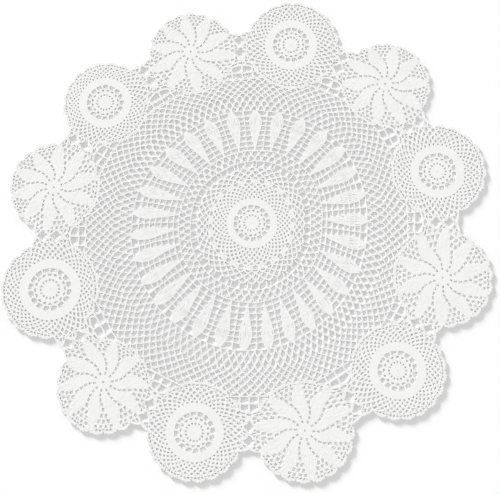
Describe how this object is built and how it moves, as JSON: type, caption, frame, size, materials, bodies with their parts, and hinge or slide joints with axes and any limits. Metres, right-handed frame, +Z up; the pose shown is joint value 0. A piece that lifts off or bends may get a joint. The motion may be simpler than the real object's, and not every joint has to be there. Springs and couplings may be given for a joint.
{
  "type": "crochet tablecloth",
  "caption": "Round white crochet tablecloth: a centre round with a ring of leaves, joined to a border of wheel and pinwheel medallions, lying flat.",
  "frame": {"origin": "on the underside, at the middle of the centre rosette's small disc", "axes": "+Z up out of the face that shows, +Y towards the far edge as the picture shows it, +X to the right"},
  "size_m": [0.8848, 0.8884, 0.0028],
  "materials": {
    "centre_cotton": "white mercerised cotton thread, crocheted",
    "wheel_cotton": "white mercerised cotton thread, crocheted",
    "pinwheel_cotton": "white mercerised cotton thread, crocheted"
  },
  "bodies": {
    "root": {"centre_round": "centre_cotton", "wheel_1": "wheel_cotton", "pinwheel_1": "pinwheel_cotton", "wheel_2": "wheel_cotton", "pinwheel_2": "pinwheel_cotton", "wheel_3": "wheel_cotton", "pinwheel_3": "pinwheel_cotton", "wheel_4": "wheel_cotton", "pinwheel_4": "pinwheel_cotton", "wheel_5": "wheel_cotton", "pinwheel_5": "pinwheel_cotton", "wheel_6": "wheel_cotton", "pinwheel_6": "pinwheel_cotton"}
  },
  "joints": []
}
